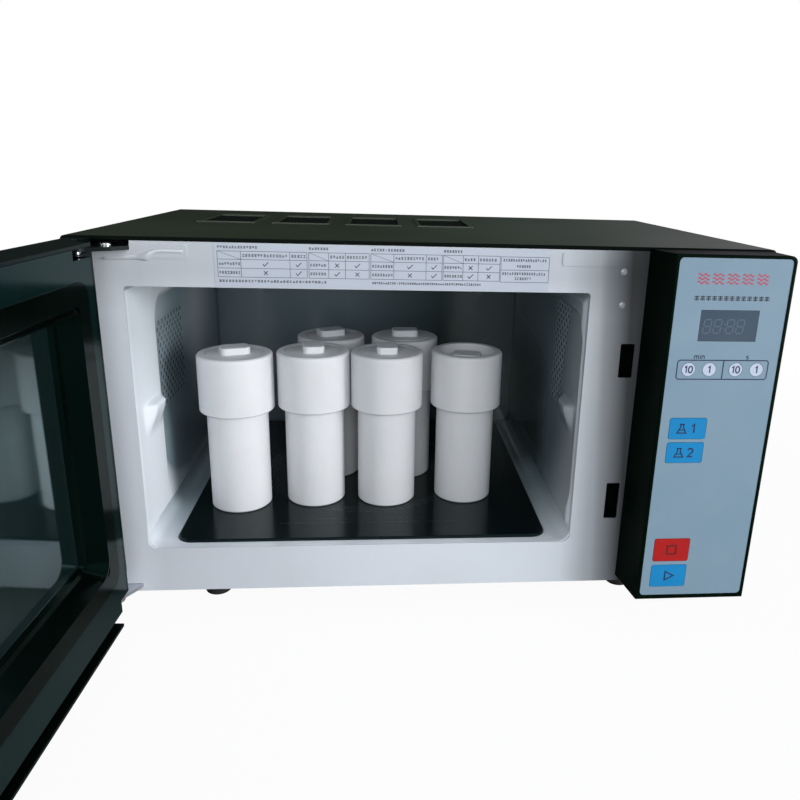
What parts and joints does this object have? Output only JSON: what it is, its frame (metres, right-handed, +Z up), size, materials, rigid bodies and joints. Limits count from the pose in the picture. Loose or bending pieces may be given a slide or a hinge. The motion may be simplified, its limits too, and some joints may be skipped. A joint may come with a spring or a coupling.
{
  "type": "microwave digestion reactor",
  "caption": "Bench-top microwave digestion reactor with an open side-hinged door, a keyed control panel and lidded white reaction vessels standing on a ceramic plate.",
  "frame": {"origin": "middle of the cabinet's footprint, on the surface its feet stand on", "axes": "+Z up, -Y towards the front with the door and control panel, +X to the right seen from the front"},
  "size_m": [0.5361, 0.6935, 0.2853],
  "materials": {
    "cover_paint": "satin powder coat",
    "frame_enamel": "gloss enamel",
    "cavity_enamel": "gloss enamel",
    "zinc_sheet": "zinc-coated sheet",
    "black_ceramic": "polished glass-ceramic",
    "foot_rubber": "matt rubber",
    "screw_steel": "bright zinc",
    "dark_steel": "black passivated steel",
    "guide_aluminium": "mill finish",
    "motor_can": "plated can",
    "core_steel": "varnished laminations",
    "can_aluminium": "drawn can",
    "duct_plastic": "moulded plastic",
    "fan_plastic": "moulded plastic",
    "board_green": "solder mask",
    "black_plastic": "satin moulding",
    "overlay_film": "printed film",
    "display_lens": "smoked lens",
    "key_pale": "printed cap",
    "key_blue": "printed cap",
    "key_red": "printed cap",
    "door_paint": "gloss black",
    "door_glass": "tinted glass",
    "choke_black": "gloss black enamel",
    "choke_plastic": "satin moulding",
    "screen_dark": "screen film",
    "handle_metal": "satin",
    "latch_nylon": "nylon",
    "spring_steel": "drawn wire",
    "label_film": "printed film",
    "ptfe": "turned"
  },
  "bodies": {
    "cabinet": {"outer_cover": "cover_paint", "base_plate": "zinc_sheet", "back_panel": "zinc_sheet", "front_frame": "frame_enamel", "cavity_shell": "cavity_enamel", "ceramic_plate": "black_ceramic", "feet": "foot_rubber", "case_screws": "screw_steel", "waveguide": "guide_aluminium", "stirrer_motor": "motor_can", "magnetron": "can_aluminium", "transformer": "core_steel", "hv_capacitor": "can_aluminium", "fan_shroud": "duct_plastic", "fan_motor": "core_steel", "panel_housing": "black_plastic", "panel_overlay": "overlay_film", "display_window": "display_lens", "control_board": "board_green", "hinge_brackets": "dark_steel", "hinge_pins": "screw_steel", "interlock_block": "black_plastic", "usage_label": "label_film", "cord_gland": "black_plastic"},
    "door": {"door_panel": "door_paint", "door_glass": "door_glass", "door_handle": "handle_metal", "choke_frame": "choke_black", "choke_cover": "choke_plastic", "inner_window": "screen_dark", "latch_spring": "spring_steel"},
    "latch": {"latch_hooks": "latch_nylon"},
    "stirrer": {"stirrer_antenna": "guide_aluminium"},
    "fan": {"fan_rotor": "fan_plastic"},
    "key_min_10": {"key_min_10": "key_pale"},
    "key_min_1": {"key_min_1": "key_pale"},
    "key_sec_10": {"key_sec_10": "key_pale"},
    "key_sec_1": {"key_sec_1": "key_pale"},
    "key_program_1": {"key_program_1": "key_blue"},
    "key_program_2": {"key_program_2": "key_blue"},
    "key_stop": {"key_stop": "key_red"},
    "key_start": {"key_start": "key_blue"},
    "vessel_1": {"vessel_body_1": "ptfe"},
    "vessel_1_lid": {"vessel_lid_1": "ptfe"},
    "vessel_1_cap": {"vessel_cap_1": "ptfe"},
    "vessel_2": {"vessel_body_2": "ptfe"},
    "vessel_2_lid": {"vessel_lid_2": "ptfe"},
    "vessel_2_cap": {"vessel_cap_2": "ptfe"},
    "vessel_3": {"vessel_body_3": "ptfe"},
    "vessel_3_lid": {"vessel_lid_3": "ptfe"},
    "vessel_3_cap": {"vessel_cap_3": "ptfe"},
    "vessel_4": {"vessel_body_4": "ptfe"},
    "vessel_4_lid": {"vessel_lid_4": "ptfe"},
    "vessel_4_cap": {"vessel_cap_4": "ptfe"},
    "vessel_5": {"vessel_body_5": "ptfe"},
    "vessel_5_lid": {"vessel_lid_5": "ptfe"},
    "vessel_5_cap": {"vessel_cap_5": "ptfe"},
    "vessel_6": {"vessel_body_6": "ptfe"},
    "vessel_6_lid": {"vessel_lid_6": "ptfe"},
    "vessel_6_cap": {"vessel_cap_6": "ptfe"}
  },
  "joints": [
    {"name": "door_swing", "type": "hinge", "parent": "cabinet", "child": "door", "pos_m": [-0.2265, -0.1635, 0.15], "axis": [0, 0, -1], "range_deg": [-93, 15]},
    {"name": "latch_slide", "type": "slide", "parent": "door", "child": "latch", "axis": [0, 0, 1], "range_m": [0, 0.005], "stiffness_N_per_m": 300, "springref_m": -0.002, "deforming": ["latch_spring"]},
    {"name": "stirrer_spin", "type": "hinge", "parent": "cabinet", "child": "stirrer", "pos_m": [-0.0474, -0.001, 0.05], "axis": [0, 0, 1], "continuous": true},
    {"name": "fan_spin", "type": "hinge", "parent": "cabinet", "child": "fan", "pos_m": [0.176, 0.126, 0.178], "axis": [0, 1, 0], "continuous": true},
    {"name": "key_min_10_press", "type": "slide", "parent": "cabinet", "child": "key_min_10", "axis": [0, 1, 0], "range_m": [0, 0.0004], "stiffness_N_per_m": 800, "springref_m": -0.0006},
    {"name": "key_min_1_press", "type": "slide", "parent": "cabinet", "child": "key_min_1", "axis": [0, 1, 0], "range_m": [0, 0.0004], "stiffness_N_per_m": 800, "springref_m": -0.0006},
    {"name": "key_sec_10_press", "type": "slide", "parent": "cabinet", "child": "key_sec_10", "axis": [0, 1, 0], "range_m": [0, 0.0004], "stiffness_N_per_m": 800, "springref_m": -0.0006},
    {"name": "key_sec_1_press", "type": "slide", "parent": "cabinet", "child": "key_sec_1", "axis": [0, 1, 0], "range_m": [0, 0.0004], "stiffness_N_per_m": 800, "springref_m": -0.0006},
    {"name": "key_program_1_press", "type": "slide", "parent": "cabinet", "child": "key_program_1", "axis": [0, 1, 0], "range_m": [0, 0.0004], "stiffness_N_per_m": 800, "springref_m": -0.0006},
    {"name": "key_program_2_press", "type": "slide", "parent": "cabinet", "child": "key_program_2", "axis": [0, 1, 0], "range_m": [0, 0.0004], "stiffness_N_per_m": 800, "springref_m": -0.0006},
    {"name": "key_stop_press", "type": "slide", "parent": "cabinet", "child": "key_stop", "axis": [0, 1, 0], "range_m": [0, 0.0004], "stiffness_N_per_m": 800, "springref_m": -0.0006},
    {"name": "key_start_press", "type": "slide", "parent": "cabinet", "child": "key_start", "axis": [0, 1, 0], "range_m": [0, 0.0004], "stiffness_N_per_m": 800, "springref_m": -0.0006},
    {"name": "vessel_1_draw", "type": "slide", "parent": "cabinet", "child": "vessel_1", "axis": [0, -0.9781, 0.2079], "range_m": [0, 0.18]},
    {"name": "vessel_1_lid_rise", "type": "slide", "parent": "vessel_1", "child": "vessel_1_lid", "axis": [0, 0, 1], "range_m": [0, 0.0121]},
    {"name": "vessel_1_cap_turn", "type": "hinge", "parent": "vessel_1_lid", "child": "vessel_1_cap", "pos_m": [-0.1512, -0.07, 0.1793], "axis": [0, 0, 1], "range_deg": [0, 1080]},
    {"name": "vessel_2_draw", "type": "slide", "parent": "cabinet", "child": "vessel_2", "axis": [0, -0.9781, 0.2079], "range_m": [0, 0.18]},
    {"name": "vessel_2_lid_rise", "type": "slide", "parent": "vessel_2", "child": "vessel_2_lid", "axis": [0, 0, 1], "range_m": [0, 0.0121]},
    {"name": "vessel_2_cap_turn", "type": "hinge", "parent": "vessel_2_lid", "child": "vessel_2_cap", "pos_m": [-0.0903, -0.0604, 0.1793], "axis": [0, 0, 1], "range_deg": [0, 1080]},
    {"name": "vessel_3_draw", "type": "slide", "parent": "cabinet", "child": "vessel_3", "axis": [0, -0.9781, 0.2079], "range_m": [0, 0.18]},
    {"name": "vessel_3_lid_rise", "type": "slide", "parent": "vessel_3", "child": "vessel_3_lid", "axis": [0, 0, 1], "range_m": [0, 0.0121]},
    {"name": "vessel_3_cap_turn", "type": "hinge", "parent": "vessel_3_lid", "child": "vessel_3_cap", "pos_m": [-0.0305, -0.0616, 0.1793], "axis": [0, 0, 1], "range_deg": [0, 1080]},
    {"name": "vessel_4_draw", "type": "slide", "parent": "cabinet", "child": "vessel_4", "axis": [0, -0.9781, 0.2079], "range_m": [0, 0.18]},
    {"name": "vessel_4_lid_rise", "type": "slide", "parent": "vessel_4", "child": "vessel_4_lid", "axis": [0, 0, 1], "range_m": [0, 0.0121]},
    {"name": "vessel_4_cap_turn", "type": "hinge", "parent": "vessel_4_lid", "child": "vessel_4_cap", "pos_m": [0.0361, -0.0568, 0.1793], "axis": [0, 0, 1], "range_deg": [0, 1080]},
    {"name": "vessel_5_lift", "type": "slide", "parent": "cabinet", "child": "vessel_5", "axis": [0, 0, 1], "range_m": [0, 0.035]},
    {"name": "vessel_5_lid_rise", "type": "slide", "parent": "vessel_5", "child": "vessel_5_lid", "axis": [0, 0, 1], "range_m": [0, 0.0121]},
    {"name": "vessel_5_cap_turn", "type": "hinge", "parent": "vessel_5_lid", "child": "vessel_5_cap", "pos_m": [-0.0795, -0.0016, 0.1793], "axis": [0, 0, 1], "range_deg": [0, 1080]},
    {"name": "vessel_6_lift", "type": "slide", "parent": "cabinet", "child": "vessel_6", "axis": [0, 0, 1], "range_m": [0, 0.035]},
    {"name": "vessel_6_lid_rise", "type": "slide", "parent": "vessel_6", "child": "vessel_6_lid", "axis": [0, 0, 1], "range_m": [0, 0.0121]},
    {"name": "vessel_6_cap_turn", "type": "hinge", "parent": "vessel_6_lid", "child": "vessel_6_cap", "pos_m": [-0.014, -0.0034, 0.1793], "axis": [0, 0, 1], "range_deg": [0, 1080]}
  ],
  "couplings": [
    {"joint": "vessel_1_lid_rise", "follows": "vessel_1_cap_turn", "m_per_rad": 0.00063662},
    {"joint": "vessel_2_lid_rise", "follows": "vessel_2_cap_turn", "m_per_rad": 0.00063662},
    {"joint": "vessel_3_lid_rise", "follows": "vessel_3_cap_turn", "m_per_rad": 0.00063662},
    {"joint": "vessel_4_lid_rise", "follows": "vessel_4_cap_turn", "m_per_rad": 0.00063662},
    {"joint": "vessel_5_lid_rise", "follows": "vessel_5_cap_turn", "m_per_rad": 0.00063662},
    {"joint": "vessel_6_lid_rise", "follows": "vessel_6_cap_turn", "m_per_rad": 0.00063662}
  ]
}
